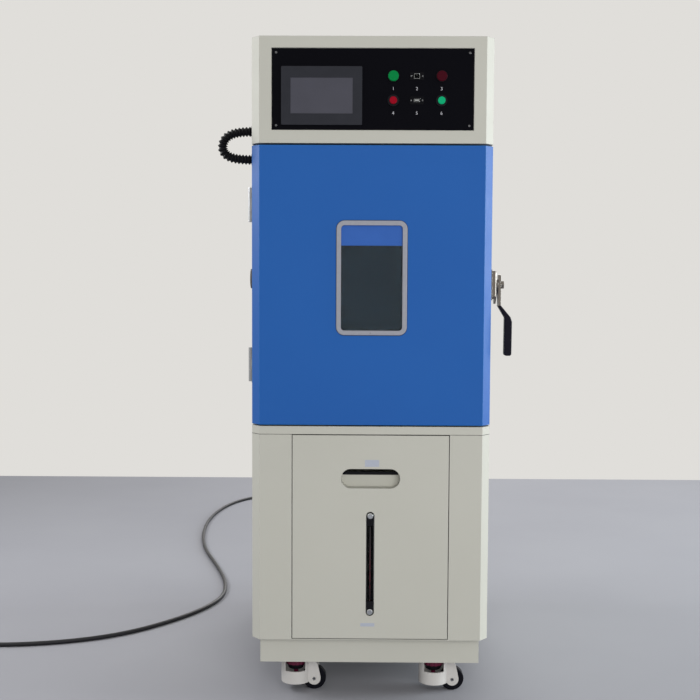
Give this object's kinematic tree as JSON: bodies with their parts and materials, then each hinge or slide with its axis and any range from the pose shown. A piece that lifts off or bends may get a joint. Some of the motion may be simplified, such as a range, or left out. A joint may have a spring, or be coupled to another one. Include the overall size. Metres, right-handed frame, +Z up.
{
  "type": "environmental test chamber",
  "caption": "Floor-standing environmental test chamber with a hinged windowed door, a control head, a water drawer, a wiring hose, a power cord and levelling casters.",
  "frame": {"origin": "on the floor under the middle of the cabinet", "axes": "+Z up, -Y towards the door side, +X to the right of someone facing the door"},
  "size_m": [1.8086, 2.6855, 1.722],
  "materials": {
    "cabinet_paint": "satin",
    "frame_paint": "satin",
    "cover_paint": "satin",
    "door_paint": "satin",
    "drawer_paint": "satin",
    "zinc_steel": "satin",
    "stainless_sheet": "satin",
    "stainless_cast": "satin",
    "foam": "matte",
    "fan_metal": "satin",
    "coil_metal": "satin",
    "motor_paint": "satin",
    "seal_rubber": "matte",
    "black_plastic": "satin",
    "panel_paint": "satin",
    "screen_plastic": "satin",
    "screen_glass": "gloss",
    "lens_green": "gloss",
    "button_red": "gloss",
    "button_green": "gloss",
    "window_glass": "gloss",
    "chrome_metal": "gloss",
    "tank_plastic": "satin",
    "hose_plastic": "satin",
    "cord_rubber": "matte",
    "caster_paint": "satin",
    "wheel_plastic": "satin",
    "foot_plastic": "satin"
  },
  "bodies": {
    "cabinet": {"lower_casing": "cabinet_paint", "upper_casing": "cabinet_paint", "base_frame": "frame_paint", "rear_cover": "cover_paint", "caster_plates": "zinc_steel", "hinge_cabinet_leaves": "zinc_steel", "panel_screws": "zinc_steel", "chamber_liner": "stainless_sheet", "air_baffle": "stainless_sheet", "shelves": "stainless_sheet", "heater_coil": "stainless_sheet", "cable_port": "stainless_sheet", "latch_keeper": "stainless_cast", "chamber_insulation": "foam", "evaporator_coil": "coil_metal", "condenser": "coil_metal", "fan_motor": "motor_paint", "compressor": "motor_paint", "cabinet_glands": "black_plastic", "data_sockets": "black_plastic", "indicator_bodies": "black_plastic", "control_panel": "panel_paint", "touch_screen_body": "screen_plastic", "touch_screen_glass": "screen_glass", "lamp_lenses": "lens_green", "power_cord": "cord_rubber", "power_plug": "cord_rubber"},
    "door": {"hinge_door_leaves": "zinc_steel", "door_skin": "door_paint", "door_liner": "foam", "door_seal": "seal_rubber", "window_frame": "seal_rubber", "window_panes": "window_glass", "latch_base": "stainless_cast", "door_gland": "black_plastic", "wiring_hose": "hose_plastic"},
    "latch": {"latch_lever": "stainless_cast", "latch_grip": "black_plastic"},
    "drawer": {"drawer_front": "drawer_paint", "water_tank": "tank_plastic", "gauge_body": "black_plastic", "gauge_tube": "window_glass", "gauge_bolts": "chrome_metal"},
    "power_button_body": {"power_button": "button_red"},
    "lighting_button_body": {"lighting_button": "button_green"},
    "circulation_fan_body": {"circulation_fan": "fan_metal"},
    "condenser_fan_body": {"condenser_fan": "fan_metal"},
    "port_plug_body": {"port_plug": "seal_rubber"},
    "left_front_swivel_body": {"left_front_caster_body": "caster_paint"},
    "left_front_wheel_body": {"left_front_caster_wheel": "wheel_plastic"},
    "left_front_foot_body": {"left_front_caster_foot": "foot_plastic"},
    "left_rear_swivel_body": {"left_rear_caster_body": "caster_paint"},
    "left_rear_wheel_body": {"left_rear_caster_wheel": "wheel_plastic"},
    "left_rear_foot_body": {"left_rear_caster_foot": "foot_plastic"},
    "right_front_swivel_body": {"right_front_caster_body": "caster_paint"},
    "right_front_wheel_body": {"right_front_caster_wheel": "wheel_plastic"},
    "right_front_foot_body": {"right_front_caster_foot": "foot_plastic"},
    "right_rear_swivel_body": {"right_rear_caster_body": "caster_paint"},
    "right_rear_wheel_body": {"right_rear_caster_wheel": "wheel_plastic"},
    "right_rear_foot_body": {"right_rear_caster_foot": "foot_plastic"}
  },
  "joints": [
    {"name": "door_hinge", "type": "hinge", "parent": "cabinet", "child": "door", "pos_m": [-0.318, -0.365, 1.089], "axis": [0, 0, -1], "range_deg": [0, 115], "deforming": ["wiring_hose"]},
    {"name": "latch_hinge", "type": "hinge", "parent": "door", "child": "latch", "pos_m": [0.32, -0.401, 1.094], "axis": [-1, 0, 0], "range_deg": [0, 100]},
    {"name": "drawer_slide", "type": "slide", "parent": "cabinet", "child": "drawer", "axis": [0, -1, 0], "range_m": [0, 0.26]},
    {"name": "power_button_slide", "type": "slide", "parent": "cabinet", "child": "power_button_body", "axis": [0, 1, 0], "range_m": [0, 0.003], "stiffness_N_per_m": 400, "springref_m": -0.004},
    {"name": "lighting_button_slide", "type": "slide", "parent": "cabinet", "child": "lighting_button_body", "axis": [0, 1, 0], "range_m": [0, 0.003], "stiffness_N_per_m": 400, "springref_m": -0.004},
    {"name": "circulation_fan_spin", "type": "hinge", "parent": "cabinet", "child": "circulation_fan_body", "pos_m": [0, 0.1, 1.225], "axis": [0, 1, 0], "continuous": true},
    {"name": "condenser_fan_spin", "type": "hinge", "parent": "cabinet", "child": "condenser_fan_body", "pos_m": [0, 0.341, 0.371], "axis": [0, 1, 0], "continuous": true},
    {"name": "port_plug_pull", "type": "slide", "parent": "cabinet", "child": "port_plug_body", "axis": [-1, 0, 0], "range_m": [0, 0.08]},
    {"name": "left_front_swivel", "type": "hinge", "parent": "cabinet", "child": "left_front_swivel_body", "pos_m": [-0.186, -0.36, 0.095], "axis": [0, 0, 1], "continuous": true},
    {"name": "left_front_roll", "type": "hinge", "parent": "left_front_swivel_body", "child": "left_front_wheel_body", "pos_m": [-0.148, -0.36, 0.0315], "axis": [0, 1, 0], "continuous": true},
    {"name": "left_front_foot_screw", "type": "slide", "parent": "left_front_swivel_body", "child": "left_front_foot_body", "axis": [0, 0, -1], "range_m": [0, 0.014]},
    {"name": "left_rear_swivel", "type": "hinge", "parent": "cabinet", "child": "left_rear_swivel_body", "pos_m": [-0.186, 0.36, 0.095], "axis": [0, 0, 1], "continuous": true},
    {"name": "left_rear_roll", "type": "hinge", "parent": "left_rear_swivel_body", "child": "left_rear_wheel_body", "pos_m": [-0.148, 0.36, 0.0315], "axis": [0, 1, 0], "continuous": true},
    {"name": "left_rear_foot_screw", "type": "slide", "parent": "left_rear_swivel_body", "child": "left_rear_foot_body", "axis": [0, 0, -1], "range_m": [0, 0.014]},
    {"name": "right_front_swivel", "type": "hinge", "parent": "cabinet", "child": "right_front_swivel_body", "pos_m": [0.186, -0.36, 0.095], "axis": [0, 0, 1], "continuous": true},
    {"name": "right_front_roll", "type": "hinge", "parent": "right_front_swivel_body", "child": "right_front_wheel_body", "pos_m": [0.224, -0.36, 0.0315], "axis": [0, 1, 0], "continuous": true},
    {"name": "right_front_foot_screw", "type": "slide", "parent": "right_front_swivel_body", "child": "right_front_foot_body", "axis": [0, 0, -1], "range_m": [0, 0.014]},
    {"name": "right_rear_swivel", "type": "hinge", "parent": "cabinet", "child": "right_rear_swivel_body", "pos_m": [0.186, 0.36, 0.095], "axis": [0, 0, 1], "continuous": true},
    {"name": "right_rear_roll", "type": "hinge", "parent": "right_rear_swivel_body", "child": "right_rear_wheel_body", "pos_m": [0.224, 0.36, 0.0315], "axis": [0, 1, 0], "continuous": true},
    {"name": "right_rear_foot_screw", "type": "slide", "parent": "right_rear_swivel_body", "child": "right_rear_foot_body", "axis": [0, 0, -1], "range_m": [0, 0.014]}
  ]
}
